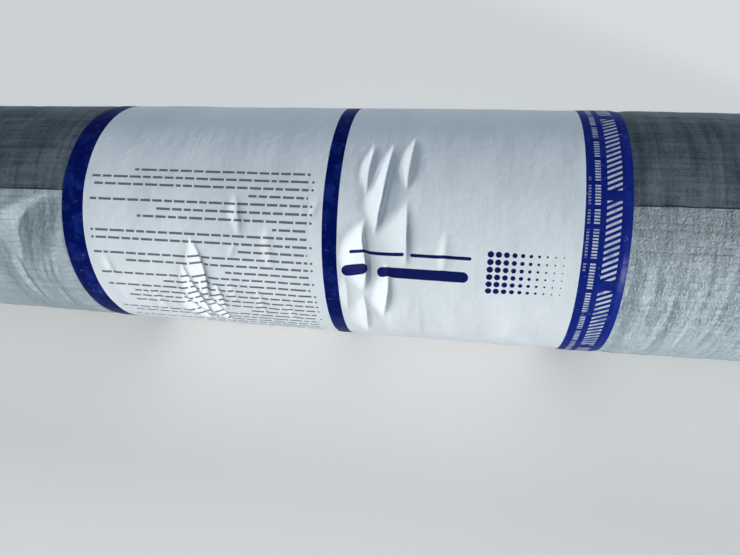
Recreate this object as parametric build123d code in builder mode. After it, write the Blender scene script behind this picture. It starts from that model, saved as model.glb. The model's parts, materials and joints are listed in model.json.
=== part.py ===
from build123d import *
from math import acos, atan, cos, degrees, hypot, pi, radians, sin, sqrt
import os

os.makedirs("parts", exist_ok=True)

# A roll of woven roofing underlayment lying on a floor. Millimetres; the roll lies along X,
# Z is up, and the origin is on the floor under the middle of the roll.

# The sheet, as it is sold, and how tightly it is wound
sheet_width = 1219.2
sheet_length = 76200.0
sheet_thickness = 0.16
turn_spacing = 0.16

# The loose end of the outer turn: its angle is from +Y towards +Z
tail_angle = 120.0
tail_loose = 10.0
tail_slack = 0.2

# The paperboard tube that the sheet is wound on
core_bore_radius = 38.1
core_wall = 4.0
core_clearance = 0.1
core_mouth_chamfer = 1.0

# The relief that the wound turns leave on both ends of the roll
turns_per_mark = 14
mark_width = 0.9
mark_depth = 0.5
mark_margin = 2.0

# The printed film band round the middle, with its glued lap at the back
label_width = 328.0
label_thickness = 0.15
label_clearance = 0.1
label_lap = 25.0
label_lap_angle = 345.0

# The wound length sets the outside of the roll
core_radius = core_bore_radius + core_wall
outer_radius = sqrt(core_radius**2 + sheet_length * turn_spacing / pi)
under_radius = outer_radius - sheet_thickness - tail_slack
half_turn_drop = (outer_radius - under_radius) / 2
lift_off_angle = degrees(atan(tail_loose / outer_radius))

# Every section is drawn in one plane across the roll, with its x axis through the tail's edge
axis_height = outer_radius + label_clearance + label_thickness
tail_direction = (0, cos(radians(tail_angle)), sin(radians(tail_angle)))


def section_at(x):
    """The plane across the roll at x, seen from the +X end."""
    return Plane(origin=(x, 0, axis_height), x_dir=tail_direction, z_dir=(1, 0, 0))


def on_circle(centre_x, radius, angle):
    """The point of a circle centred on the section's x axis."""
    return Vector(centre_x + radius * cos(radians(angle)), radius * sin(radians(angle)))


def tail_run(radius):
    """The straight run of the tail's skin that starts at a radius: its start and its free end."""
    start = on_circle(0, radius, lift_off_angle)
    along = Vector(sin(radians(lift_off_angle)), -cos(radians(lift_off_angle)))
    return start, start + along * tail_loose


def sheet_outline():
    """The outside of the wound sheet: a spiral of two half turns, and the tail standing off it."""
    tail_skin, tail_corner = tail_run(outer_radius)
    tail_root, tail_under_corner = tail_run(outer_radius - sheet_thickness)
    with BuildLine() as outline:
        CenterArc((0, 0), outer_radius, lift_off_angle, 180 - lift_off_angle)
        CenterArc((-half_turn_drop, 0), outer_radius - half_turn_drop, 180, 180)
        under_tail = CenterArc((0, 0), under_radius, 0, lift_off_angle)
        Polyline(under_tail @ 1, tail_root, tail_under_corner, tail_corner, tail_skin)
    return outline.line


def film_outline(gap):
    """A film drawn tight round the sheet at a gap: it lies on the turns and bridges the tail's step."""
    film_skin, ridge = tail_run(outer_radius + gap)
    lower_radius = outer_radius - half_turn_drop + gap
    across = hypot(ridge.X + half_turn_drop, ridge.Y)
    rise = degrees(acos(lower_radius / across))
    with BuildLine() as outline:
        CenterArc((0, 0), outer_radius + gap, lift_off_angle, 180 - lift_off_angle)
        lower = CenterArc((-half_turn_drop, 0), lower_radius, 180, 180 - rise)
        Polyline(lower @ 1, ridge, film_skin)
    return outline.line


def turn_mark():
    """A spiral strip wound the way the sheet is, from just inside the outer turn to the tube."""
    drop = turns_per_mark * turn_spacing / 2
    first_radius = under_radius - mark_margin
    last_radius = core_radius + core_clearance + mark_margin
    half_turns = int((first_radius - last_radius) / drop)
    edge_ends = []
    with BuildLine() as strip:
        for side in (mark_width / 2, -mark_width / 2):
            arcs = [
                CenterArc(
                    (-drop * (turn % 2), 0),
                    first_radius - turn * drop + side,
                    180 * (turn % 2),
                    180,
                )
                for turn in range(half_turns)
            ]
            edge_ends.append((arcs[0] @ 0, arcs[-1] @ 1))
        (outer_start, outer_stop), (inner_start, inner_stop) = edge_ends
        Line(outer_start, inner_start)
        Line(outer_stop, inner_stop)
    return strip.line


# The wound sheet, one solid, with the relief of its turns on both ends
with BuildPart() as membrane_roll:
    with BuildSketch(section_at(-sheet_width / 2)):
        make_face(sheet_outline())
        Circle(core_radius + core_clearance, mode=Mode.SUBTRACT)
    extrude(amount=sheet_width)
    with BuildSketch(section_at(-sheet_width / 2), section_at(sheet_width / 2)):
        make_face(turn_mark())
    extrude(amount=mark_depth, both=True, mode=Mode.SUBTRACT)

# The tube, sawn flush with the sheet, its mouths eased for a spindle
with BuildPart() as core_tube:
    with BuildSketch(section_at(-sheet_width / 2)):
        Circle(core_radius)
        Circle(core_bore_radius, mode=Mode.SUBTRACT)
    extrude(amount=sheet_width)
    mouths = core_tube.edges().filter_by(GeomType.CIRCLE)
    chamfer(
        mouths.filter_by(lambda edge: edge.radius < core_radius - core_wall / 2),
        length=core_mouth_chamfer,
    )

# The film band, bridging the tail, with the lap where its end is glued over its start
lap_sweep = degrees(label_lap / outer_radius)
lap_start = (label_lap_angle - tail_angle) % 360
lap_inner = outer_radius - half_turn_drop + label_clearance + label_thickness / 2
lap_outer = outer_radius - half_turn_drop + label_clearance + 2 * label_thickness
with BuildPart() as label_wrap:
    with BuildSketch(section_at(-label_width / 2)):
        make_face(film_outline(label_clearance + label_thickness))
        with BuildLine():
            inner_edge = CenterArc((-half_turn_drop, 0), lap_inner, lap_start, lap_sweep)
            outer_edge = CenterArc((-half_turn_drop, 0), lap_outer, lap_start, lap_sweep)
            Line(inner_edge @ 0, outer_edge @ 0)
            Line(inner_edge @ 1, outer_edge @ 1)
        make_face()
        make_face(film_outline(label_clearance), mode=Mode.SUBTRACT)
    extrude(amount=label_width)

membrane_roll.part.label = "membrane_roll"
core_tube.part.label = "core_tube"
label_wrap.part.label = "label_wrap"

export_step(membrane_roll.part, "parts/membrane_roll.step")
export_step(core_tube.part, "parts/core_tube.step")
export_step(label_wrap.part, "parts/label_wrap.step")

print("outer radius", round(outer_radius, 2), "turns", round((outer_radius - core_radius) / turn_spacing))
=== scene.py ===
"""The looks of a roll of woven roofing underlayment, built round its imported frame.

Metres, Z up. The roll lies along X. A place on its skin is given by x and by the way round it, s, which
is 0 at the sheet's free edge (the tail) and grows down the front, towards -Y and the floor."""

import json
from math import cos, pi, radians, sin, sqrt

import bpy
import numpy as np
from mathutils import Matrix, Vector


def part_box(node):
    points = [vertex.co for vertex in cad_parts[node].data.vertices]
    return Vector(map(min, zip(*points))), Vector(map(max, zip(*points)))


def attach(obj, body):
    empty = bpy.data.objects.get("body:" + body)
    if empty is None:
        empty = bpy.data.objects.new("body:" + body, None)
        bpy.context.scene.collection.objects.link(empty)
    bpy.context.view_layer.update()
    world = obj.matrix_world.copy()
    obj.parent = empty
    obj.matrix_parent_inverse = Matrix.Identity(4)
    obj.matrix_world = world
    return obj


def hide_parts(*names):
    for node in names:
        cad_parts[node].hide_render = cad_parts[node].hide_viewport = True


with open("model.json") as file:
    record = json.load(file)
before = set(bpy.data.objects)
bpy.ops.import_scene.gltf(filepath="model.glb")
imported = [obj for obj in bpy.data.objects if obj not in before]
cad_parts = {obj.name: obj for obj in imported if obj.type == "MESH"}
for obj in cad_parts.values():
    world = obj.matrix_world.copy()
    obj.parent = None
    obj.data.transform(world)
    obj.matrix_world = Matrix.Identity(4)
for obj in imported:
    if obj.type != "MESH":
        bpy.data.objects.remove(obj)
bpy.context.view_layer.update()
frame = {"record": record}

MM = 0.001
DEGREE = pi / 180

# Sizes that come from the frame
bore = next(mount for mount in frame["record"]["mounts"] if mount["name"] == "core_bore")
BORE_RADIUS = bore["dims"]["r_mm"] * MM
HALF_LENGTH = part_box("membrane_roll")[1].x
LABEL_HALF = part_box("label_wrap")[1].x

# The wound length of the sheet on its tube sets the outside of the roll
CORE_WALL = 4 * MM
CORE_CLEARANCE = 0.1 * MM
CORE_RADIUS = BORE_RADIUS + CORE_WALL
SHEET_LENGTH = 76.2
TURN_SPACING = 0.16 * MM
ROLL_RADIUS = sqrt(CORE_RADIUS**2 + SHEET_LENGTH * TURN_SPACING / pi)
GIRTH = 2 * pi * ROLL_RADIUS

# The label lies on the skin, with its lap at the back, and the roll rests on the label
LABEL_CLEARANCE = 0.1 * MM
LABEL_THICKNESS = 0.15 * MM
LAP_LENGTH = 25 * MM
LAP_ANGLE = radians(-135)
AXIS_Z = ROLL_RADIUS + LABEL_CLEARANCE + LABEL_THICKNESS

# The tail: where it is, how far its edge slants along the roll, and how it stands off
TAIL_ANGLE = radians(120)
UNDERSIDE = radians(150)
FLOOR_CLEARANCE = 0.15 * MM
TAIL_SLANT = -0.0095
TAIL_SHIFT = 0.9 * MM
TAIL_SLACK = 0.2 * MM
SHEET_THICKNESS = 0.16 * MM
UNDER_RADIUS = ROLL_RADIUS - TAIL_SLACK - SHEET_THICKNESS


class SmoothNoise:
    """Seeded noise from about -1 to 1, smooth between the points of a lattice of random values."""

    SIZE = 48

    def __init__(self, seed):
        self.values = np.random.default_rng(seed).uniform(-1, 1, (self.SIZE,) * 3)

    def __call__(self, places, scale):
        """places is (..., 3) and scale the size of a feature along each axis, both in metres."""
        at = places / np.array(scale) + 1000.0
        cell = np.floor(at).astype(int)
        part = at - cell
        part = part * part * (3 - 2 * part)
        total = np.zeros(at.shape[:-1])
        for corner in map(np.array, np.ndindex(2, 2, 2)):
            weight = np.prod(np.where(corner == 1, part, 1 - part), axis=-1)
            index = (cell + corner) % self.SIZE
            total += weight * self.values[index[..., 0], index[..., 1], index[..., 2]]
        return total


def smooth_step(value, low, high):
    """0 below low, 1 above high and smooth between them."""
    share = np.clip((value - low) / (high - low), 0, 1)
    return share * share * (3 - 2 * share)


def spaced(*stops):
    """Values from the first stop to the last. Each stop is (value, spacing up to the next stop)."""
    runs = []
    for (start, spacing), (end, _) in zip(stops, stops[1:]):
        count = max(1, round((end - start) / spacing))
        runs.append(np.linspace(start, end, count, endpoint=False))
    return np.append(np.concatenate(runs), stops[-1][0])


def on_roll(x, angle, radius):
    """Places at an angle from the tail, in radians, and a distance from the roll's axis."""
    round_angle = TAIL_ANGLE + angle
    x, round_angle, radius = np.broadcast_arrays(x, round_angle, radius)
    return np.stack([x, radius * np.cos(round_angle), AXIS_Z + radius * np.sin(round_angle)], axis=-1)


# How wide the steep side of a crease is, in millimetres, and how wavy its line may be
FLANK = 3.4
CREST_DEGREE = 4

# The swell of the slack turns: its height, its middle and reach down the front, its rise along x
SWELL_HEIGHT = 1.0 * MM
SWELL_MIDDLE = 48 * MM
SWELL_REACH = 27 * MM
SWELL_RISE = (35 * MM, 95 * MM)


def swelling(along, fullest):
    """From 0 at both ends of a length, where along is 0 and 1, to 1 at fullest."""
    return np.sin(pi / 2 * np.clip(np.minimum(along / fullest, (1 - along) / (1 - fullest)), 0, 1))


def crease(x, s, crest, depth, left, right, fullest=0.5, ease=1.55, steep=0.38, swell=0.14, settle=2.0):
    """How deep one crease in a sheet is, in metres. crest is the line of (x, s) at its bottom, in
    millimetres, along which s only grows. Left of it a facet, left millimetres wide, slopes down to it
    from a swell. The higher ease is, the softer the facet starts. Right of it the share steep of the depth
    comes up within a narrow flank, and the rest evenly, or ever more gently where settle is over 1. The
    crease ends in a point at both ends and is largest at fullest, a share of its length."""
    crest_x, crest_s = np.array(crest).T * MM
    share = swelling((s - crest_s[0]) / (crest_s[-1] - crest_s[0]), fullest)
    line = np.polynomial.Polynomial.fit(crest_s, crest_x, min(CREST_DEGREE, len(crest) - 1))
    across = (x - line(np.clip(s, crest_s[0], crest_s[-1]))) / MM
    facet = np.clip(1 + across / (left * (share + 0.02)), 0, 1) ** ease
    gentle = np.clip(1 - across / (right * (0.3 + 0.7 * share)), 0, 1) ** settle
    flank = np.clip(1 - across / min(FLANK, right / 2), 0, 1) ** 1.4
    rise = (1 - steep) * gentle + steep * flank
    bulge = swell * np.exp(-(((across + left * share) / (0.4 * left)) ** 2))
    return depth * MM * share * (np.where(across < 0, facet, rise) - bulge)


def creases(x, s, several):
    """The depth of several creases together, the deepest counting where they meet. Each is given as what
    crease() takes: its crest, depth, left and right, and then a dict of the rest."""
    depths = [crease(x, s, *sizes, **rest) for *sizes, rest in several]
    return np.maximum.reduce(depths, initial=0) + np.minimum.reduce(depths, initial=0)


def deepest_near(x, s, several, reach_x, reach_s):
    """The greatest depth of the creases within reach_x and reach_s millimetres, to keep clear of all."""
    depth = 0
    for step_x in np.linspace(-reach_x, reach_x, 9) * MM:
        for step_s in np.linspace(-reach_s, reach_s, 3) * MM:
            depth = np.maximum(depth, creases(x + step_x, s + step_s, several))
    return depth


def front_swell(x, s):
    """How far the front stands out below the tail, where the turns are slack, right of the middle."""
    down_the_front = np.exp(-(((s - SWELL_MIDDLE) / SWELL_REACH) ** 2))
    return SWELL_HEIGHT * down_the_front * smooth_step(x, *SWELL_RISE)


def mesh_piece(name, vertices, faces, materials, face_slots=None, sharp_over=40):
    """A mesh object with smooth shading, apart from edges bent by more than sharp_over degrees."""
    mesh = bpy.data.meshes.new(name)
    mesh.from_pydata(np.asarray(vertices).tolist(), [], faces)
    for material in materials:
        mesh.materials.append(material)
    if face_slots is not None:
        mesh.polygons.foreach_set("material_index", face_slots)
    mesh.validate()
    mesh.shade_smooth()
    mesh.set_sharp_from_angle(angle=radians(sharp_over))
    piece = bpy.data.objects.new(name, mesh)
    bpy.context.scene.collection.objects.link(piece)
    return piece


def strip(first, second, flip=False):
    """Quads between two rows of vertex numbers of one length."""
    quads = [[int(n) for n in quad] for quad in zip(first[:-1], first[1:], second[1:], second[:-1])]
    return [quad[::-1] for quad in quads] if flip else quads


def grid(numbers, flip=False):
    """Quads over a table of vertex numbers."""
    return [quad for one, two in zip(numbers[:-1], numbers[1:]) for quad in strip(one, two, flip)]


class Shader:
    """A material's node tree, with short calls for what the materials here are made of."""

    def __init__(self, name):
        self.material = bpy.data.materials.new(name)
        self.material.use_nodes = True
        self.tree = self.material.node_tree
        self.tree.nodes.clear()
        self.output = self.tree.nodes.new("ShaderNodeOutputMaterial")
        self.surface = self.tree.nodes.new("ShaderNodeBsdfPrincipled")
        self.tree.links.new(self.surface.outputs[0], self.output.inputs["Surface"])

    def node(self, kind, output=0, settings=(), **inputs):
        """A node's output. Inputs are named with _ for a space, or number_N for the Nth."""
        made = self.tree.nodes.new("ShaderNode" + kind)
        for name, value in dict(settings).items():
            setattr(made, name, value)
        for name, value in inputs.items():
            key = int(name[7:]) if name.startswith("number_") else name.replace("_", " ")
            self.put(made.inputs[key], value)
        return made.outputs[output]

    def put(self, socket, value):
        """Gives a socket a value, or a link from another node's output."""
        if isinstance(value, bpy.types.NodeSocket):
            self.tree.links.new(value, socket)
        else:
            socket.default_value = value

    def set(self, **inputs):
        """Gives the surface its inputs, named with _ for a space."""
        for name, value in inputs.items():
            self.put(self.surface.inputs[name.replace("_", " ")], value)

    def math(self, operation, first, second=0.0, third=0.0):
        return self.node("Math", 0, {"operation": operation}, number_0=first, number_1=second, number_2=third)

    def times(self, first, second):
        return self.math("MULTIPLY", first, second)

    def plus(self, first, second):
        return self.math("ADD", first, second)

    def minus(self, first, second):
        return self.math("SUBTRACT", first, second)

    def squares(self, first, second):
        """The sum of two squares."""
        return self.plus(self.times(first, first), self.times(second, second))

    def ramp(self, value, low, high, to_low=0.0, to_high=1.0):
        """to_low where value is at most low, to_high where it is at least high, and smooth between."""
        return self.node(
            "MapRange", 0, {"interpolation_type": "SMOOTHSTEP"}, Value=value,
            From_Min=low, From_Max=high, To_Min=to_low, To_Max=to_high,
        )

    def either(self, *masks):
        """The largest of several masks."""
        total = masks[0]
        for mask in masks[1:]:
            total = self.math("MAXIMUM", total, mask)
        return total

    def all_of(self, *masks):
        """The product of several masks."""
        total = masks[0]
        for mask in masks[1:]:
            total = self.times(total, mask)
        return total

    def mix(self, share, first, second):
        """A colour between two, the second where share is 1."""
        made = self.tree.nodes.new("ShaderNodeMix")
        made.data_type = "RGBA"
        self.put(made.inputs["Factor"], share)
        self.put(made.inputs[6], first)
        self.put(made.inputs[7], second)
        return made.outputs[2]

    def place(self, stretch=(1, 1, 1)):
        """The place in the row frame, scaled along each axis."""
        where = self.node("TexCoord", "Object")
        return self.node("Mapping", 0, Vector=where, Scale=stretch)

    def noise(self, stretch, detail=2.0, roughness=0.5):
        """Noise from 0 to 1, with features about 1 / stretch metres wide along each axis."""
        where = self.place(stretch)
        return self.node("TexNoise", 0, Vector=where, Scale=1.0, Detail=detail, Roughness=roughness)

    def tipped_cells(self, stretch):
        """A height made of small cells, 1 / stretch wide, each of them a plane tipped its own way."""
        where = self.place(stretch)
        cells = {"Vector": where, "Scale": 1.0}
        middle = self.node("TexVoronoi", "Position", **cells)
        chance = self.node("TexVoronoi", "Color", **cells)
        off = self.node("VectorMath", 0, {"operation": "SUBTRACT"}, number_0=where, number_1=middle)
        tip = self.node("VectorMath", 0, {"operation": "SUBTRACT"}, number_0=chance, number_1=(0.5, 0.5, 0.5))
        return self.node("VectorMath", "Value", {"operation": "DOT_PRODUCT"}, number_0=off, number_1=tip)

    def round_roll(self):
        """The outputs x, the angle from the tail in radians and the distance from the axis."""
        x, y, z = (self.node("SeparateXYZ", axis, Vector=self.place()) for axis in "XYZ")
        up = self.minus(z, AXIS_Z)
        along = self.plus(self.times(y, cos(TAIL_ANGLE)), self.times(up, sin(TAIL_ANGLE)))
        across = self.minus(self.times(up, cos(TAIL_ANGLE)), self.times(y, sin(TAIL_ANGLE)))
        return x, self.math("ARCTAN2", across, along), self.math("SQRT", self.squares(y, up))

    def bump(self, height, distance, under=None, strength=1.0):
        """A normal, bumped by height, which is 0 to 1, over a distance in metres."""
        made = self.tree.nodes.new("ShaderNodeBump")
        self.put(made.inputs["Height"], height)
        made.inputs["Distance"].default_value = distance
        made.inputs["Strength"].default_value = strength
        if under is not None:
            self.put(made.inputs["Normal"], under)
        return made.outputs[0]


# The woven sheet: two sets of flat tapes under a thin coat
WARP_PITCH = 3.1 * MM
WEFT_COUNT = round(GIRTH / (3.7 * MM))
# The tight sheet's dark tone is partly its own colour and partly painted shade
SHEET_TIGHT_SHADED = (0.080, 0.104, 0.126, 1)
SHEET_LOOSE = (0.345, 0.412, 0.455, 1)
SHEET_BLOTCH = (0.40, 0.46, 0.50, 1)
SHEET_EDGE = (0.20, 0.24, 0.265, 1)
EDGE_DARK = (0.12, 0.15, 0.17, 1)
EDGE_PALE = (0.33, 0.38, 0.4, 1)

# The fine rings on the ends, and the wider marks of the turns, which stand up to a depth proud
RING_PITCH = 0.64 * MM
MARK_PITCH = 2.2 * MM
MARK_DEPTH = 0.3 * MM


def tapes(shader, place):
    """Of tapes side by side, a pitch of 1 apart: the gap between neighbours, 1 in its middle and by chance
    weaker, a random tone of each tape, its number, and the way across it from -0.5 to 0.5."""
    number = shader.math("ROUND", place)
    gap = shader.ramp(shader.math("ABSOLUTE", shader.minus(place, number)), 0.0, 0.2, 1.0, 0.0)
    chance = shader.node("TexWhiteNoise", 0, {"noise_dimensions": "1D"}, W=number)
    tape = shader.math("FLOOR", place)
    tone = shader.node("TexWhiteNoise", 0, {"noise_dimensions": "1D"}, W=tape)
    across = shader.minus(shader.math("FRACT", place), 0.5)
    return shader.times(gap, shader.math("MULTIPLY_ADD", chance, 0.75, 0.25)), tone, tape, across


def sheet_material():
    """The skin of the roll. Two attributes of its mesh say how slack and how crumpled the sheet is."""
    shader = Shader("woven_sheet")
    x, angle, _ = shader.round_roll()
    loose = shader.node("Attribute", "Fac", {"attribute_name": "looseness"})
    crumpled = shader.node("Attribute", "Fac", {"attribute_name": "crumple"})

    def by_slack(tight, slack):
        """One value where the sheet is tight, going over to another where it is slack."""
        return shader.ramp(loose, 0.0, 0.6, tight, slack)

    warp_gap, warp_tone, warp, across_warp = tapes(shader, shader.math("DIVIDE", x, WARP_PITCH))
    weft_place = shader.times(angle, WEFT_COUNT / (2 * pi))
    weft_gap, weft_tone, weft, across_weft = tapes(shader, weft_place)
    worn = shader.ramp(shader.noise((90, 160, 160), 3.0, 0.6), 0.35, 0.62, 0.25, 1.0)
    gaps = shader.math("MAXIMUM", shader.times(warp_gap, 0.35), shader.times(weft_gap, 0.85))
    gaps = shader.times(worn, gaps)

    # Each crossing of two tapes is tipped its own way, which breaks the light up into small blocks
    crossing = shader.node("TexWhiteNoise", "Color", {"noise_dimensions": "2D"},
                           Vector=shader.node("CombineXYZ", 0, X=warp, Y=weft, Z=0.0))
    tips = [shader.minus(shader.node("SeparateColor", n, Color=crossing), 0.5) for n in range(2)]
    tipped = shader.plus(shader.times(across_warp, tips[0]), shader.times(across_weft, tips[1]))

    # Crinkles: facets a few millimetres wide, flecks of a millimetre or two, and a fine grain
    facets = shader.tipped_cells((260, 270, 270))
    flecks = shader.tipped_cells((620, 720, 720))
    flecked = shader.noise((400, 540, 540), 4.0, 0.8)
    grain = shader.noise((900, 1050, 1050), 2.0, 0.65)
    ripples = shader.noise((210, 34, 34))
    ridges = shader.math("ABSOLUTE", shader.minus(shader.noise((380, 280, 280)), 0.5))
    soft = shader.noise((130, 45, 45))

    strength = shader.math("MULTIPLY_ADD", crumpled, 0.8, 0.2)
    rippled = shader.math("MULTIPLY_ADD", crumpled, 0.6, 0.2)
    right_of_dent = shader.ramp(x, -172 * MM, -162 * MM, 0.4, 1.0)
    normal = shader.bump(soft, 0.8 * MM, strength=0.7)
    for height, distance in (
        (shader.all_of(ripples, rippled, right_of_dent), 1.7 * MM),
        (shader.times(tipped, shader.math("MULTIPLY_ADD", crumpled, 0.9, 0.1)), 0.9 * MM),
        (shader.times(facets, crumpled), 0.28 * MM),
        (shader.times(flecks, crumpled), 0.20 * MM),
        (shader.times(flecked, crumpled), 0.85 * MM),
        (shader.times(ridges, strength), 0.15 * MM),
        (shader.times(grain, strength), 0.8 * MM),
    ):
        normal = shader.bump(height, distance, normal)
    normal = shader.bump(gaps, 0.14 * MM, normal, -0.8)

    # Tones: a plaid of soft streaks along the tapes of both sets, bands round the roll, and blotches
    warp_streak = shader.noise((290, 28, 28))
    along_weft = shader.node("CombineXYZ", 0, X=shader.times(x, 28.0), Y=weft_place, Z=0.0)
    weft_streak = shader.node("TexNoise", 0, Vector=along_weft, Scale=0.9, Detail=2.0, Roughness=0.5)
    tape_tones = shader.times(shader.plus(warp_tone, weft_tone), 0.14)
    plaid = shader.plus(shader.plus(warp_streak, weft_streak), tape_tones)
    blotches = shader.noise((45, 30, 30), 4.0, 0.6)
    bands = shader.noise((75, 6, 6), 3.0, 0.6)
    # Darker where the turns lie tight: partly the sheet's own tone, partly painted shade
    base = shader.mix(by_slack(0.0, 1.0), SHEET_TIGHT_SHADED, SHEET_LOOSE)
    base = shader.mix(shader.ramp(blotches, 0.35, 0.7, 0.0, 0.10), base, SHEET_BLOTCH)
    streaked = shader.times(shader.ramp(plaid, 0.72, 1.56, 0.5, -0.5), by_slack(0.68, 0.22))
    banded = shader.times(shader.ramp(bands, 0.3, 0.75, -0.5, 0.5), by_slack(0.30, 0.10))
    mottle = shader.ramp(shader.noise((540, 420, 420), 2.0, 0.6), 0.25, 0.75, -0.11, 0.11)
    fine_mottle = shader.times(shader.ramp(grain, 0.25, 0.75, -1.0, 1.0), by_slack(0.20, 0.05))
    mottle = shader.plus(shader.plus(mottle, fine_mottle), 1.0)
    shade = shader.plus(mottle, shader.plus(streaked, banded))

    # The slack front right of the label: painted shade near the tail and painted light further down, painted
    # glints on the crumples, and dark gaps
    on_right = shader.times(shader.ramp(x, 100 * MM, 175 * MM), by_slack(0.0, 1.0))
    # Painted shade near the tail, going over to painted light further down the front
    painted_shade_and_light = shader.ramp(angle, 0.05, 0.60, -0.16, 0.31)
    shade = shader.times(shade, shader.math("MULTIPLY_ADD", on_right, painted_shade_and_light, 1.0))
    # Painted glints: bright specks in the base colour of the crumpled sheet
    painted_glints = shader.ramp(shader.noise((900, 640, 640), 2.0, 0.7), 0.60, 0.72)
    shade = shader.plus(shade, shader.times(painted_glints, shader.times(crumpled, 0.6)))
    gap_dark = by_slack(0.60, 0.34)
    shade = shader.times(shade, shader.minus(1.0, shader.times(gaps, gap_dark)))
    base = shader.node("VectorMath", 0, {"operation": "SCALE"}, number_0=base, Scale=shade)
    gloss = shader.ramp(crumpled, 0.2, 0.9, 0.40, 0.30)
    shader.set(Base_Color=base, Normal=normal, Specular_IOR_Level=0.38)
    shader.set(Roughness=shader.plus(gloss, shader.ramp(grain, 0.3, 0.7, 0.06, 0.0)))
    return shader.material


def ends_material():
    """The ends of the roll, where the edges of the turns show as fine rings."""
    shader = Shader("wound_edges")
    _, angle, radius = shader.round_roll()
    turn = shader.math("DIVIDE", angle, 2 * pi)
    ring_place = shader.math("MULTIPLY_ADD", radius, 1 / RING_PITCH, turn)
    fine = shader.math("SINE", shader.times(ring_place, 2 * pi))
    rough = shader.noise((1, 900, 900), 3.0, 0.7)
    bands = shader.node(
        "TexNoise", 0, {"noise_dimensions": "1D"}, W=shader.times(radius, 700), Scale=1.0, Detail=4.0
    )
    height = shader.plus(shader.times(fine, 0.3), shader.times(bands, 0.7))
    normal = shader.bump(height, 0.25 * MM, strength=0.8)
    normal = shader.bump(rough, 0.1 * MM, normal, 0.5)
    base = shader.mix(shader.ramp(bands, 0.3, 0.7), EDGE_DARK, SHEET_EDGE)
    base = shader.mix(shader.ramp(fine, -0.2, 0.9, 0.0, 0.45), base, EDGE_PALE)
    shader.set(Base_Color=base, Normal=normal, Roughness=0.55)
    return shader.material


# Folds and dents of the sheet beside the label: crest, depth, left and right in millimetres, the rest
SHEET_CREASES = [
    ([(-173, 4), (-184, 11), (-194.5, 16), (-199.6, 20), (-200.4, 26), (-200.2, 32), (-200, 38),
     (-199.9, 44), (-201, 51)], 6.8, 13, 38,
     dict(fullest=0.34, ease=1.3, steep=0.1, swell=0.06, settle=1.15)),
    ([(-203, 40), (-203.1, 48.6), (-202.7, 57.8), (-202.4, 68.4), (-202.3, 77), (-204.6, 91)], 1.9, 5,
     4.5, dict(steep=0.5, fullest=0.35, ease=1.3)),
    ([(-183, 36), (-185, 52), (-190, 70)], 0.6, 2.4, 3.2, {}),
    ([(-178, 36), (-180, 52), (-184, 68)], 0.7, 2.4, 3.2, {}),
    ([(-173, 36), (-174.5, 52), (-178.5, 67)], 0.6, 2.4, 3.2, {}),
    ([(-181, 62), (-183, 80), (-187, 104)], 0.5, 4, 6, {}),
    ([(-170.5, 56), (-171, 74), (-172, 98)], 0.4, 3, 5, {}),
    ([(177.5, 14), (178.5, 40), (178, 78)], 0.7, 3.5, 6, {}),
    ([(189.6, 30), (188.6, 62), (186, 104)], 0.9, 3.2, 7, {}),
    ([(203, 10), (203, 50), (199, 96)], 0.6, 3.5, 7, {}),
    ([(216, 2), (215, 38), (209, 96)], 0.8, 4, 8, {}),
]
# Soft hollows, and swells of a negative depth: centre x and s, half widths in x and s, depth, in millimetres
SHEET_HOLLOWS = [(-178, 56, 16, 16, -1.2), (-224, 60, 24, 40, 0.9), (212, 16, 18, 10, 0.7)]

# The large dent left of the label: its middle and half widths along x and down the front
DENT_X = -182 * MM
DENT_S = 27 * MM
DENT_HALF_X = 14 * MM
DENT_HALF_S = 20 * MM


def scattered_creases(seed=5, count=46):
    """More creases for the rest of the roll's front and top, away from the label."""
    random = np.random.default_rng(seed)
    scattered = []
    for _ in range(count):
        x = random.choice([-1, 1]) * random.uniform(250, 585)
        s = random.uniform(6, 190)
        length = random.uniform(35, 95)
        lean = random.uniform(-7, 7)
        depth = random.uniform(0.4, 1.6) * (1 - 0.5 * (s > 110))
        crest = [(x, s), (x + 0.6 * lean, s + length / 2), (x + lean, s + length)]
        left = random.uniform(8, 17)
        right = random.uniform(9, 24)
        scattered.append((crest, depth, left, right, {"fullest": random.uniform(0.35, 0.65)}))
    return scattered


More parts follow.
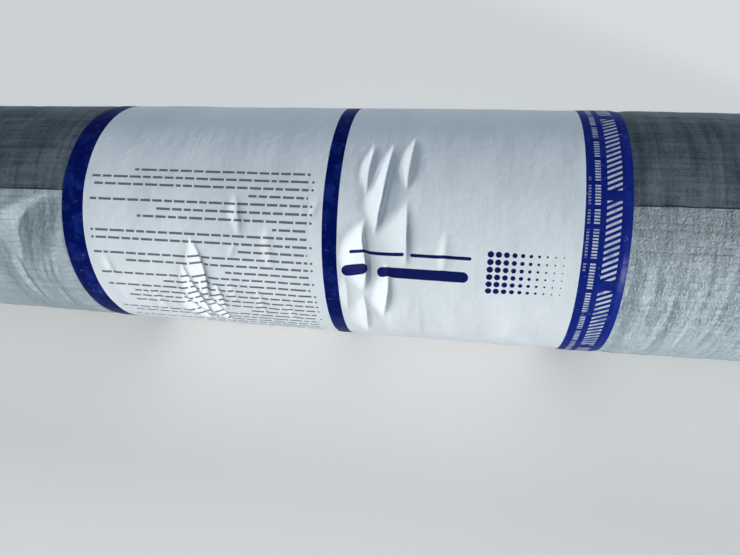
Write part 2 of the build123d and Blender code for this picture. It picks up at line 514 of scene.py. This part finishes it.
# Creases of the film band, which press the turns under it in: each as above
LABEL_CREASES = [
    ([(36.8, -34), (35.7, -20), (33.6, 0), (32, 10), (30.2, 19.5)], 3.8, 9.5, 15,
     dict(fullest=0.64, steep=0.32)),
    ([(48.3, -40), (47.9, -18), (46.4, -5)], 2.3, 6.5, 9, dict(fullest=0.6)),
    ([(25.7, -34), (25, -14), (24.3, -1.5)], 2.2, 5.5, 12, dict(fullest=0.6)),
    ([(47.3, 1.5), (47.8, 14), (48.3, 37)], 2.5, 16, 9, dict(fullest=0.55, ease=1.8)),
    ([(25.3, 11.8), (23.4, 17), (22.9, 22), (24, 29), (25.2, 38), (25.3, 46), (23, 55)], 4.3, 14, 10,
     dict(fullest=0.56, ease=1.25, steep=0.34, swell=0.26)),
    ([(37.5, 36), (38, 47), (37.2, 58), (35.7, 67), (34, 74.8)], 2.9, 9, 8, dict(fullest=0.6)),
    ([(23.2, 57), (23.7, 69), (23.3, 80), (22, 98)], 1.8, 10, 8, dict(ease=1.8, steep=0.3)),
    ([(69.3, 15), (69.4, 26), (68.6, 43)], 0.8, 4.5, 8, {}),
    ([(55, 60), (56, 80), (54, 100)], 0.4, 6, 8, {}),
    ([(12.5, 44), (13.4, 56), (12.2, 72)], 0.6, 4, 6, {}),
    ([(-52.4, 0.5), (-51, 12), (-49.2, 25.5)], 1.7, 5, 8, dict(ease=1.15)),
    ([(-33, 16), (-32, 29), (-31.2, 47)], 0.8, 5, 8, {}),
    ([(-51.6, 28), (-54, 33), (-57, 39)], 0.7, 2.5, 3, {}),
    ([(-80.5, 26.5), (-78.3, 33), (-76.6, 39), (-75.7, 48), (-75.4, 56), (-76.3, 64), (-78, 72.5)], 3.3,
     9.5, 9, dict(ease=1.4, steep=0.42)),
    ([(-88.3, 42), (-86.3, 52), (-84.6, 62), (-83, 72), (-81.7, 82), (-81.2, 91)], 2.5, 7, 7,
     dict(fullest=0.55, ease=1.4)),
    ([(-93.5, 66), (-90.5, 77), (-87.2, 87), (-85, 99)], 2.3, 8, 6.5, dict(ease=1.4)),
    ([(-76, 67), (-74, 77), (-71.7, 87), (-70.2, 99)], 2.3, 6, 6.5, dict(fullest=0.55, ease=1.4)),
    ([(-69.2, 54), (-68.1, 63), (-67.8, 70), (-68.7, 83)], 1.4, 5.5, 5, dict(ease=1.4)),
    ([(-138.4, 40), (-137, 48), (-136, 57)], 0.9, 5, 4.4, {}),
    ([(-2.6, 1), (-4, 6), (-7, 13)], 0.6, 3, 4, {}),
    ([(-60, 50), (-58, 62), (-59, 76)], 0.6, 3.5, 5, {}),
    ([(-43, 56), (-41.5, 70), (-43, 88)], 0.6, 3.5, 5, {}),
    ([(-25, 66), (-23.5, 80), (-24, 96)], 0.55, 3.5, 5, {}),
    ([(-112, 60), (-110.5, 74), (-111, 92)], 0.45, 4, 5, {}),
]


def dent_share(x, s):
    """1 in the large dent left of the label, and 0 outside it."""
    return np.exp(-(((x - DENT_X) / DENT_HALF_X) ** 4) - ((s - DENT_S) / DENT_HALF_S) ** 4)


def crumple_share(x, s, places, noise):
    """Where the loose sheet is crumpled, from 0 to 1: right of the label near the tail, and in patches."""
    patches = smooth_step(noise(places + 5.5, (90 * MM, 60 * MM, 60 * MM)), -0.1, 0.6)
    patches *= 1 - smooth_step(s, 120 * MM, 260 * MM)
    beside_label = smooth_step(x, 120 * MM, 160 * MM) * (1 - smooth_step(x, 250 * MM, 300 * MM))
    near_tail = 1 - 0.85 * smooth_step(s, 50 * MM, 88 * MM)
    smooth_side = smooth_step(x, -260 * MM, -230 * MM) * (1 - smooth_step(x, -160 * MM, -120 * MM))
    share = np.maximum(0.15 + 0.6 * patches, beside_label * near_tail)
    under_tail = smooth_step(s, GIRTH - 60 * MM, GIRTH - 30 * MM)
    share = np.maximum(share, 0.45 * smooth_side) * (1 - 0.45 * smooth_side)
    return np.maximum(share, 0.75 * dent_share(x, s)) * (1 - 0.85 * under_tail)


def sheet_relief(x, angle, noise):
    """At x and an angle: how far the sheet's skin stands off the wound section, how deep its creases
    are, how slack it is and how crumpled."""
    s = ROLL_RADIUS * angle + TAIL_SHIFT + TAIL_SLANT * x
    places = on_roll(x, angle, ROLL_RADIUS)
    slack = 1 - 0.6 * smooth_step(s, 150 * MM, 330 * MM)
    slack *= 1 - smooth_step(s, GIRTH - 130 * MM, GIRTH - 40 * MM)
    waves = 0.35 * MM * noise(places, (60 * MM, 70 * MM, 70 * MM))
    streaks = 0.34 * MM * noise(places + 3.1, (9 * MM, 34 * MM, 34 * MM))
    crumpled = crumple_share(x, s, places, noise)
    crumple = 0.40 * MM * noise(places + 7.7, (6 * MM, 8 * MM, 8 * MM)) * crumpled
    crumple += 0.42 * MM * noise(places + 9.9, (5.4 * MM, 5 * MM, 5 * MM)) * dent_share(x, s)
    relief = waves + streaks * (0.3 + 0.7 * slack) + crumple + front_swell(x, s)
    for centre_x, centre_s, half_x, half_s, depth in SHEET_HOLLOWS:
        far = ((x - centre_x * MM) / (half_x * MM)) ** 2 + ((s - centre_s * MM) / (half_s * MM)) ** 2
        relief -= depth * MM * np.exp(-1.5 * far)
    beside = np.abs(x) - LABEL_HALF
    relief += 0.55 * MM * np.exp(-((beside / (45 * MM)) ** 2))
    free = smooth_step(beside, 0.5 * MM, 9 * MM)
    over_floor = AXIS_Z * (1 / np.maximum(np.cos(angle - UNDERSIDE), 0.5) - 1) + FLOOR_CLEARANCE
    lying = smooth_step(np.abs(angle - UNDERSIDE), radians(10), radians(45))
    relief *= free
    relief = np.where(relief > 0, relief * lying, relief)
    wrapped = np.where(angle > 1.5 * pi, s - GIRTH, s)
    depth = creases(x, wrapped, SHEET_CREASES + scattered_creases()) * free
    return np.minimum(relief, over_floor), depth, slack, crumpled


def wound_radius(angle):
    """The section's radius, at an angle from 0 at the tail to a whole turn: two half turns of a spiral."""
    drop = (ROLL_RADIUS - UNDER_RADIUS) / 2
    second = np.sqrt((ROLL_RADIUS - drop) ** 2 - (drop * np.sin(angle)) ** 2) - drop * np.cos(angle)
    return np.where(angle <= pi, ROLL_RADIUS, np.where(angle <= 2 * pi, second, UNDER_RADIUS))


def make_roll():
    """The wound sheet: its skin with the loose tail, its two ends and its bore, as one closed mesh."""
    noise = SmoothNoise(11)
    tail_run = radians(7.6)
    x = spaced((-HALF_LENGTH, 3.4 * MM), (-216 * MM, 1.3 * MM), (-162 * MM, 6 * MM), (162 * MM, 1.3 * MM),
               (240 * MM, 3.4 * MM), (HALF_LENGTH, 0))[:, None]
    tail_angles = spaced((0, 1.27 * DEGREE), (tail_run, 0))
    body_angles = spaced((tail_run, 1.25 * DEGREE), (110 * DEGREE, 2.6 * DEGREE),
                         (290 * DEGREE, 1.6 * DEGREE), (2 * pi + tail_run, 0))
    skin_angles = np.append(tail_angles[:-1], body_angles)[None, :]
    sideways = (TAIL_SHIFT + TAIL_SLANT * x) / ROLL_RADIUS
    relief, crease_depth, slack, crumpled = sheet_relief(x, skin_angles, noise)

    # The tail's last run springs straight off the turn beneath, unless the label presses it down
    unpressed = smooth_step(np.abs(x), LABEL_HALF - 1 * MM, LABEL_HALF + 16 * MM)
    uneven = 0.42 + 0.3 * noise(on_roll(x, 0, ROLL_RADIUS), (35 * MM,) * 3)
    run_left = np.clip(tail_run - skin_angles, 0, None)
    spring = ROLL_RADIUS * (1 / np.cos(run_left) - 1) * ((0.12 + 0.88 * unpressed) * uneven)
    near_tail = 1 - smooth_step(skin_angles, 0.95 * tail_run, 1.6 * tail_run)
    relief = np.where(relief < 0, relief * (1 - near_tail), relief)
    under_tail = smooth_step(skin_angles, 2 * pi - tail_run, 2 * pi)
    relief = relief * (1 - under_tail) - crease_depth

    # Under the label the turns lie smooth, and are pressed in clear of the film's creases
    signed_angles = np.where(skin_angles > pi, skin_angles - 2 * pi, skin_angles)
    pressed_in = 1.25 * deepest_near(x, ROLL_RADIUS * signed_angles, LABEL_CREASES, 9, 6)
    relief = np.where(np.abs(x) < LABEL_HALF, -pressed_in, relief)
    skin_radius = wound_radius(skin_angles) + relief + spring
    skin = on_roll(x, skin_angles + sideways, skin_radius)
    tail_count = len(tail_angles)
    beneath_radius = skin_radius[:, :tail_count] - SHEET_THICKNESS
    beneath = on_roll(x, tail_angles[None, :] + sideways, beneath_radius)

    # Vertex numbers: the skin, the tail's underside, then the rings of the two ends
    rows, columns = skin.shape[:2]
    skin_at = np.arange(rows * columns).reshape(rows, columns)
    beneath_at = rows * columns + np.arange(rows * tail_count).reshape(rows, tail_count)
    vertices = [skin.reshape(-1, 3), beneath.reshape(-1, 3)]
    count = rows * (columns + tail_count)
    root = tail_count - 1

    faces = grid(skin_at)
    faces += grid(np.stack([skin_at[:, -1], beneath_at[:, root]], axis=1))
    faces += grid(beneath_at[:, ::-1])
    faces += grid(np.stack([beneath_at[:, 0], skin_at[:, 0]], axis=1))
    skin_faces = len(faces)

    ring_radii = spaced((CORE_RADIUS + CORE_CLEARANCE, 0.85 * MM), (UNDER_RADIUS - 0.8 * MM, 0))
    ring_angles = body_angles[:-1]
    inner_rings = []
    edge_fade = smooth_step(ring_radii, ring_radii[0], ring_radii[3])
    edge_fade *= smooth_step(-ring_radii, -ring_radii[-1], -ring_radii[-4])
    for end, row in ((-1, 0), (1, rows - 1)):
        shifted = sideways[row] * (ring_radii - ring_radii[0]) / (ring_radii[-1] - ring_radii[0])
        turned = ring_angles[None, :] + shifted[:, None]
        ring_places = on_roll(end * HALF_LENGTH, turned, ring_radii[:, None])
        spiral = (ring_radii[:, None] + MARK_PITCH * ring_angles[None, :] / (2 * pi)) / MARK_PITCH
        spots = np.stack([spiral * 0 + end, spiral * 1.1, 0.1 * turned + 0 * spiral], -1)
        proud = MARK_DEPTH * noise(spots, (1, 1, 1))
        ring_places[..., 0] -= end * np.abs(proud) * edge_fade[:, None]
        ring_at = count + np.arange(ring_places[..., 0].size).reshape(ring_places.shape[:2])
        vertices.append(ring_places.reshape(-1, 3))
        count += ring_at.size
        closed = np.append(ring_at, ring_at[:, :1], axis=1)
        turned_round = end > 0
        faces += grid(closed, flip=turned_round)
        outline = skin_at[row, root:]
        last = closed[-1]
        band = strip(last, outline, flip=turned_round)
        first_face = [last[0], skin_at[row, -1], beneath_at[row, root], outline[0], outline[1], last[1]]
        first_face = [int(n) for n in first_face]
        band[0] = first_face if turned_round else first_face[::-1]
        faces += band
        cap = [int(n) for n in (*skin_at[row, :tail_count], *beneath_at[row, ::-1])]
        faces.append(cap if turned_round else cap[::-1])
        inner_rings.append(closed[0])
    faces += strip(inner_rings[1], inner_rings[0])
    slots = np.zeros(len(faces), int)
    slots[skin_faces:-(len(inner_rings[0]) - 1)] = 1

    materials = [sheet_material(), ends_material()]
    roll = mesh_piece("wound_sheet", np.concatenate(vertices), faces, materials, slots)
    for name, share in (("looseness", slack), ("crumple", crumpled)):
        values = np.zeros(count)
        values[:skin_at.size] = share.ravel()
        values[skin_at.size:skin_at.size + beneath_at.size] = 1.0
        roll.data.attributes.new(name, "FLOAT", "POINT").data.foreach_set("value", values)
    return roll


# The printed film band

def label_base(angle):
    """The film's inner radius without its creases, at an angle between minus and plus half a turn."""
    base = wound_radius(np.mod(angle, 2 * pi))
    bridge = smooth_step(angle, radians(-14), radians(-1)) * (angle < 0)
    return base + (ROLL_RADIUS - base) * bridge + LABEL_CLEARANCE


def label_radius(x, angle, noise):
    """The film's outer radius, without its lap."""
    s = ROLL_RADIUS * angle
    height = -creases(x, s, LABEL_CREASES)
    places = on_roll(x, angle, ROLL_RADIUS)
    streaks = noise(places, (3.6 * MM, 40 * MM, 40 * MM))
    drawn = smooth_step(s, 30 * MM, 80 * MM)
    waves = noise(places + 2.3, (18 * MM, 30 * MM, 30 * MM))
    dimples = noise(places + 4.4, (8 * MM, 10 * MM, 10 * MM))
    height += (0.03 + 0.09 * drawn) * MM * (1 + streaks) + 0.26 * MM * (1 + waves)
    height += (0.09 + 0.08 * drawn) * MM * (1 + dimples) + front_swell(x, s)
    edge_fade = smooth_step(LABEL_HALF - np.abs(x), 0, 4 * MM)
    underside = smooth_step(abs(angle - UNDERSIDE), radians(12), radians(40))
    return label_base(angle) + LABEL_THICKNESS + height * edge_fade * underside


# The print, all plain stripes, bars and shapes. Millimetres along x or round the roll
NAVY = (0.0003, 0.005, 0.098, 1)
BAND_BLUE = (0.005, 0.015, 0.19, 1)
INK = (0.006, 0.011, 0.10, 1)
TEXT_INK = (0.03, 0.035, 0.07, 1)
PALE_PRINT = (0.55, 0.60, 0.70, 1)
WORN_BLUE = (0.010, 0.035, 0.25, 1)
SCUFFED_BLUE = (0.35, 0.40, 0.62, 1)
FILM_WHITE = (0.765, 0.820, 0.872, 1)
FILM_TINT = (0.70, 0.755, 0.81, 1)
LEFT_STRIPE = (-170, -149.5)
MIDDLE_STRIPE = (0.2, 9.0)
RIGHT_BAND = (140.4, 170)

# Bars with round ends, the thick ones and the thin ones over them: left, right, middle and half height
ROUND_BARS = [(32, 83, 41.5, 3.3), (11.5, 26, 41.5, 3.3), (16, 47, 30.6, 1.0), (50.5, 84, 30.6, 1.0)]

# A field of dots beside the bars, which shrink to the right
DOT_PITCH = 4.2
DOTS_ACROSS = (92.0, 134.0)
DOTS_DOWN = (25.4, 50.6)
DOT_RADII = (1.75, 0.35)

# The lines of print on the right band, which run round the roll
STROKE_COUNT = 144
STROKES_ACROSS = (151.0, 158.4)
SHORT_BARS_ACROSS = (145.0, 147.8)
TINY_BARS_ACROSS = (141.6, 143.0)
TINY_BARS_DOWN = (-16, 34)

# The rows of small bars in the left panel, each with a dot beside its right end or without
ROW_PITCH = 4.65
FIRST_ROW = -12.2
ROW_RIGHT = -8.5
ROW_LEFT = -145.0
BAR_HALF = 0.72
DOT_OUT = 2.2
# How much of its width each row takes, from the top row down, and whether a dot leads it
ROWS = [
    (0.80, 0), (1.00, 1), (0.99, 1), (0.26, 0), (1.00, 1), (0.68, 1), (0.77, 1), (0.15, 0), (1.00, 0),
    (1.00, 1), (0.31, 0), (1.00, 1), (0.85, 1), (0.38, 0), (0.99, 1), (0.70, 0), (0.98, 1), (0.86, 1),
    (0.90, 1), (0.89, 1), (0.32, 0), (0.99, 1), (0.94, 0), (0.52, 0), (0.97, 1), (0.60, 0),
]


def label_material():
    """White film with navy stripes and rows of plain bars, drawn from the place on the roll."""
    shader = Shader("printed_film")
    x, angle, _ = shader.round_roll()
    across = shader.times(x, 1 / MM)
    down = shader.times(angle, ROLL_RADIUS / MM)

    def band(value, low, high, soft=0.08):
        """1 where value lies between low and high."""
        rise = shader.ramp(value, low - soft, low + soft)
        fall = shader.ramp(value, high - soft, high + soft, 1, 0)
        return shader.times(rise, fall)

    def from_break(place):
        """How far a place along a line is from the nearest of breaks, which are 1 apart on average."""
        return shader.node(
            "TexVoronoi", 0, {"voronoi_dimensions": "1D", "feature": "DISTANCE_TO_EDGE"}, W=place, Scale=1.0
        )

    # Rows of small bars. A ramp with one stop for each row holds the row's length and its dot.
    from_top = shader.minus(down, FIRST_ROW - ROW_PITCH / 2)
    row_place = shader.math("DIVIDE", from_top, ROW_PITCH)
    row = shader.math("FLOOR", row_place)
    in_row = shader.times(shader.minus(shader.minus(row_place, row), 0.5), ROW_PITCH)
    ramp = shader.tree.nodes.new("ShaderNodeValToRGB")
    ramp.color_ramp.interpolation = "CONSTANT"
    elements = ramp.color_ramp.elements
    for number, (length, dot) in enumerate(ROWS):
        stop = elements[number] if number < 2 else elements.new(number / len(ROWS))
        stop.position = number / len(ROWS)
        stop.color = (length, dot, 0, 1)
    shader.put(ramp.inputs[0], shader.math("DIVIDE", shader.plus(row, 0.5), len(ROWS)))
    parts = [shader.node("SeparateColor", n, Color=ramp.outputs[0]) for n in range(2)]
    row_end = shader.math("MULTIPLY_ADD", parts[0], ROW_LEFT - ROW_RIGHT, ROW_RIGHT)
    in_rows = band(row_place, 0, len(ROWS))
    inside_row = shader.all_of(
        shader.math("GREATER_THAN", across, row_end), shader.math("LESS_THAN", across, ROW_RIGHT), in_rows
    )
    words = from_break(shader.math("MULTIPLY_ADD", across, 0.125, shader.times(row, 7.31)))
    bar = shader.minus(BAR_HALF, shader.math("ABSOLUTE", in_row))
    small_bars = shader.all_of(inside_row, shader.ramp(words, 0.06, 0.10), shader.ramp(bar, -0.16, 0.16))
    dot_far = shader.squares(shader.minus(across, ROW_RIGHT + DOT_OUT), in_row)
    dots = shader.all_of(shader.math("LESS_THAN", dot_far, 0.55), parts[1], in_rows)

    # The middle panel: thick and thin bars with round ends, and a field of dots
    def round_bar(left, right, middle, half):
        past = shader.math("ABSOLUTE", shader.minus(across, (left + right) / 2))
        past = shader.math("MAXIMUM", shader.minus(past, (right - left) / 2 - half), 0.0)
        far = shader.squares(past, shader.minus(down, middle))
        return shader.ramp(far, half * half, half * half * 0.9)

    def from_dot(value, start):
        """How far a value is from the middle of its own dot, along one way of the field."""
        cell = shader.math("FRACT", shader.math("DIVIDE", shader.minus(value, start), DOT_PITCH))
        return shader.math("MULTIPLY_ADD", cell, DOT_PITCH, -DOT_PITCH / 2)

    far = shader.math("SQRT", shader.squares(from_dot(across, DOTS_ACROSS[0]), from_dot(down, DOTS_DOWN[0])))
    dot_radius = shader.ramp(across, *DOTS_ACROSS, *DOT_RADII)
    dot_field = shader.all_of(
        shader.ramp(shader.minus(dot_radius, far), -0.08, 0.08),
        band(across, *DOTS_ACROSS),
        band(down, *DOTS_DOWN),
    )
    dark_ink = shader.either(*(round_bar(*one) for one in ROUND_BARS), dot_field)

    # The right band: a line of slanted strokes and two lines of small bars, running round the roll
    slanted = shader.math("MULTIPLY_ADD", across, 0.5, down)
    stroke = shader.math("SINE", shader.times(slanted, STROKE_COUNT * MM / ROLL_RADIUS))
    groups = from_break(shader.times(down, 0.021))
    thick_line = shader.all_of(
        band(across, *STROKES_ACROSS),
        shader.ramp(stroke, 0.05, 0.25),
        shader.math("GREATER_THAN", groups, 0.06),
    )
    small_groups = from_break(shader.math("MULTIPLY_ADD", down, 0.07, 11.0))
    small_stroke = shader.ramp(shader.math("SINE", shader.times(angle, 2 * STROKE_COUNT)), -0.3, 0.1)
    thin_line = shader.all_of(
        band(across, *SHORT_BARS_ACROSS), small_stroke, shader.math("GREATER_THAN", small_groups, 0.08)
    )
    tiny_line = shader.all_of(
        band(across, *TINY_BARS_ACROSS),
        band(down, *TINY_BARS_DOWN),
        small_stroke,
        shader.math("GREATER_THAN", small_groups, 0.1),
    )

    # The colours, with clouds and scuffs on the dark stripes
    specks = shader.ramp(shader.noise((260, 260, 260), 6.0, 0.75), 0.60, 0.72)
    clouds = shader.ramp(shader.noise((130, 100, 100), 4.0, 0.65), 0.46, 0.66)
    tint = shader.noise((30, 20, 20), 3.0)
    stripes = shader.either(band(across, *LEFT_STRIPE), band(across, *MIDDLE_STRIPE))
    right_band = band(across, *RIGHT_BAND)
    printed = shader.either(stripes, right_band)
    colour = shader.mix(shader.ramp(tint, 0.3, 0.7), FILM_WHITE, FILM_TINT)
    for share, ink in (
        (shader.times(small_bars, 0.84), TEXT_INK),
        (shader.times(dots, 0.9), TEXT_INK),
        (dark_ink, INK),
        (stripes, NAVY),
        (right_band, BAND_BLUE),
        (shader.either(thick_line, thin_line), PALE_PRINT),
        (shader.times(tiny_line, 0.45), PALE_PRINT),
        (shader.all_of(printed, clouds, 0.5), WORN_BLUE),
        (shader.all_of(printed, specks, 0.36), SCUFFED_BLUE),
    ):
        colour = shader.mix(share, colour, ink)

    # The film's finish: faint lines it was drawn in, and fine crinkles
    smears = shader.noise((260, 120, 120), 3.0, 0.55)
    normal = shader.bump(shader.noise((190, 24, 24)), 0.16 * MM)
    normal = shader.bump(shader.noise((190, 260, 260), 3.0, 0.55), 0.25 * MM, normal)
    shader.set(Base_Color=colour, Normal=normal, Roughness=shader.ramp(smears, 0.3, 0.7, 0.32, 0.40))
    inked = shader.either(printed, dark_ink, small_bars)
    shader.set(Specular_IOR_Level=shader.math("MULTIPLY_ADD", inked, -0.38, 0.45))
    return shader.material


def make_label():
    """The film band as a closed mesh: a creased outer face, a plainer inner face and the two edges."""
    noise = SmoothNoise(23)
    x = spaced((-LABEL_HALF, 1.5 * MM), (-96 * MM, 0.5 * MM), (-64 * MM, 1.3 * MM), (6 * MM, 0.5 * MM),
               (50 * MM, 1.3 * MM), (LABEL_HALF, 0))[:, None]
    inner_x = spaced((-LABEL_HALF, 12 * MM), (-104 * MM, 3 * MM), (-60 * MM, 6 * MM), (0, 3 * MM),
                     (60 * MM, 12 * MM), (LABEL_HALF, 0))[:, None]
    step = LABEL_THICKNESS / ROLL_RADIUS
    angles = spaced((-180 * DEGREE, 2.6 * DEGREE), (LAP_ANGLE - step, step), (LAP_ANGLE, 2.6 * DEGREE),
                    (-42 * DEGREE, 1.15 * DEGREE), (106 * DEGREE, 2.6 * DEGREE), (180 * DEGREE, 0))
    angles = angles[None, :-1]
    outer_radius = label_radius(x, angles, noise) + LABEL_THICKNESS * lap_share(angles)
    outer = on_roll(x, angles, outer_radius)
    inner_dents = deepest_near(inner_x, ROLL_RADIUS * angles, LABEL_CREASES, 3.4, 2)
    inner = on_roll(inner_x, angles, label_base(angles) - inner_dents)
    outer_at = np.arange(outer[..., 0].size).reshape(outer.shape[:2])
    inner_at = outer_at.size + np.arange(inner[..., 0].size).reshape(inner.shape[:2])
    outer_at = np.append(outer_at, outer_at[:, :1], axis=1)
    inner_at = np.append(inner_at, inner_at[:, :1], axis=1)
    faces = grid(outer_at)
    faces += grid(inner_at, flip=True)
    faces += strip(inner_at[0], outer_at[0])
    faces += strip(outer_at[-1], inner_at[-1])
    vertices = np.concatenate([outer.reshape(-1, 3), inner.reshape(-1, 3)])
    return mesh_piece("label_film", vertices, faces, [label_material()], sharp_over=60)


def lap_share(angles):
    """The lap's extra thickness: a cut edge at one side, run out over a few millimetres at the other."""
    run = (angles - LAP_ANGLE) * ROLL_RADIUS
    return np.where(run >= 0, 1 - smooth_step(run, LAP_LENGTH - 7 * MM, LAP_LENGTH), 0)


# The paperboard tube
BOARD = (0.36, 0.235, 0.135, 1)
BOARD_PALE = (0.46, 0.31, 0.185, 1)
BOARD_FIBRE = (0.26, 0.16, 0.09, 1)
BOARD_SEAM = (0.12, 0.07, 0.04, 1)
BOARD_PLY = (0.2, 0.12, 0.07, 1)
SEAM_PITCH = 120 * MM
PLY_PITCH = 0.5 * MM


def board_material():
    """Brown board with the spiral seams of its plies."""
    shader = Shader("paperboard")
    x, angle, radius = shader.round_roll()
    wound = shader.plus(shader.math("DIVIDE", x, SEAM_PITCH), shader.math("DIVIDE", angle, 2 * pi))
    from_seam = shader.math("ABSOLUTE", shader.minus(shader.math("FRACT", wound), 0.5))
    seam = shader.ramp(from_seam, 0.0, 0.008, 1.0, 0.0)
    fibres = shader.noise((700, 260, 260), 5.0, 0.65)
    blotches = shader.noise((25, 25, 25), 3.0)
    plies = shader.math("SINE", shader.times(radius, 2 * pi / PLY_PITCH))
    base = shader.mix(shader.ramp(blotches, 0.3, 0.7), BOARD, BOARD_PALE)
    base = shader.mix(shader.ramp(fibres, 0.45, 0.75, 0.0, 0.5), base, BOARD_FIBRE)
    base = shader.mix(shader.times(seam, 0.6), base, BOARD_SEAM)
    base = shader.mix(shader.ramp(plies, -0.2, 0.8, 0.0, 0.25), base, BOARD_PLY)
    normal = shader.bump(fibres, 0.08 * MM, strength=0.6)
    normal = shader.bump(seam, 0.3 * MM, normal, -0.8)
    shader.set(Base_Color=base, Normal=normal, Roughness=0.85)
    return shader.material


def make_tube():
    """The tube as a closed mesh: sawn ends with a worn mouth, and a skin that a seam winds round."""
    angles = np.arange(0, 360, 3) * DEGREE
    left = -HALF_LENGTH
    x = spaced((left, 20 * MM), (HALF_LENGTH, 0))
    section = [
        (left + 1 * MM, BORE_RADIUS),
        (left + 0.3 * MM, BORE_RADIUS + 0.35 * MM),
        (left, BORE_RADIUS + 1 * MM),
        (left, CORE_RADIUS - 0.4 * CORE_WALL),
        (left, CORE_RADIUS - 0.3 * MM),
        (left + 0.3 * MM, CORE_RADIUS),
    ]
    profile = section + [(place, CORE_RADIUS) for place in x[1:-1]]
    profile += [(-place, radius) for place, radius in section[::-1]]
    profile += [(place, BORE_RADIUS) for place in x[1:-1][::-1]]
    along, radius = np.array(profile).T
    vertices = on_roll(along[:, None], angles[None, :], radius[:, None])
    numbers = np.arange(vertices[..., 0].size).reshape(vertices.shape[:2])
    numbers = np.append(numbers, numbers[:, :1], axis=1)
    faces = grid(np.append(numbers, numbers[:1], axis=0))
    return mesh_piece("board_tube", vertices.reshape(-1, 3), faces, [board_material()], sharp_over=50)


# The studio: a pale floor, soft light from low on the right of the front, and the photograph's camera
FLOOR_LIT = (0.80, 0.80, 0.79, 1)
FLOOR_SEEN = (0.90, 0.87, 0.845, 1)
FLOOR_GLOW = (1.0, 0.97, 0.94, 1)
SKY_FILL = (0.68, 0.85, 1.0, 1)
BACKDROP = (0.665, 0.690, 0.710, 1)


def make_floor():
    """A wide floor that the camera sees paler than it lights the roll."""
    shader = Shader("studio_floor")
    seen = shader.node("LightPath", "Is Camera Ray")
    base = shader.mix(seen, FLOOR_LIT, FLOOR_SEEN)
    shader.set(Base_Color=base, Roughness=0.9, Specular_IOR_Level=0.0)
    shader.set(Emission_Color=FLOOR_GLOW, Emission_Strength=shader.times(seen, 0.28))
    half_size = 25
    corners = [(x * half_size, y * half_size, 0) for x, y in ((-1, -1), (1, -1), (1, 1), (-1, 1))]
    mesh_piece("studio_floor", corners, [[0, 1, 2, 3]], [shader.material])


def add_light(name, toward, strength, spread, color, glossy=False):
    """Parallel light that comes from a direction, softened over spread degrees."""
    light = bpy.data.lights.new(name, "SUN")
    light.energy = strength
    light.angle = radians(spread)
    light.color = color
    lamp = bpy.data.objects.new(name, light)
    lamp.rotation_mode = "QUATERNION"
    lamp.rotation_quaternion = Vector(toward).to_track_quat("Z", "Y")
    lamp.visible_glossy = glossy
    bpy.context.scene.collection.objects.link(lamp)


def make_lights():
    """A low key from the right of the front, two soft fills, and a dim sky behind a pale backdrop."""
    add_light("key", toward=(3.8, -2.7, 0.31), strength=3.9, spread=7.5, color=(1.0, 0.975, 0.925),
              glossy=True)
    add_light("back_fill", toward=(0.8, 3.4, 2.6), strength=1.0, spread=30, color=(0.95, 0.98, 1.0))
    add_light("top_fill", toward=(0.3, -0.6, 3.0), strength=0.42, spread=80, color=(0.62, 0.82, 1.0))
    world = bpy.data.worlds.new("studio")
    world.use_nodes = True
    tree = world.node_tree
    fill = tree.nodes["Background"]
    fill.inputs["Color"].default_value = SKY_FILL
    fill.inputs["Strength"].default_value = 0.145
    backdrop = tree.nodes.new("ShaderNodeBackground")
    backdrop.inputs["Color"].default_value = BACKDROP
    seen = tree.nodes.new("ShaderNodeLightPath").outputs["Is Camera Ray"]
    either = tree.nodes.new("ShaderNodeMixShader")
    tree.links.new(seen, either.inputs["Fac"])
    tree.links.new(fill.outputs[0], either.inputs[1])
    tree.links.new(backdrop.outputs[0], either.inputs[2])
    tree.links.new(either.outputs[0], tree.nodes["World Output"].inputs["Surface"])
    bpy.context.scene.world = world


def make_camera():
    """The photograph's view: above the front of the roll, at the fitted distance and angles."""
    distance = 5.052 * ROLL_RADIUS
    elevation = radians(49.5)
    offset_x = 1.0825 * ROLL_RADIUS
    tilt, pan, roll = radians(5.69), radians(9.72), radians(3.57)
    focal_pixels, image_width, sensor_width = 556, 740, 36
    lens = bpy.data.cameras.new("camera")
    lens.sensor_width = sensor_width
    lens.lens = focal_pixels * sensor_width / image_width
    lens.clip_start = 0.01
    camera = bpy.data.objects.new("camera", lens)
    right = Vector((1, 0, 0))
    ahead = Vector((0, cos(elevation), -sin(elevation)))
    down = ahead.cross(right)
    base = Matrix((right, down, ahead)).transposed()
    turn = Matrix.Rotation(roll, 3, "Z") @ Matrix.Rotation(pan, 3, "Y") @ Matrix.Rotation(tilt, 3, "X")
    camera.matrix_world = (base @ turn.transposed() @ Matrix.Diagonal((1, -1, -1))).to_4x4()
    camera.location = Vector((offset_x, 0, AXIS_Z)) - distance * ahead
    bpy.context.scene.collection.objects.link(camera)
    bpy.context.scene.camera = camera


bpy.context.scene.view_settings.view_transform = "Standard"
make_camera()
roll_piece = make_roll()
label_piece = make_label()
tube_piece = make_tube()
for piece, node, slot in (
    (roll_piece, "membrane_roll", "membrane"),
    (label_piece, "label_wrap", "label_film"),
    (tube_piece, "core_tube", "paperboard"),
):
    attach(piece, "root")
    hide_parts(node)
make_floor()
make_lights()
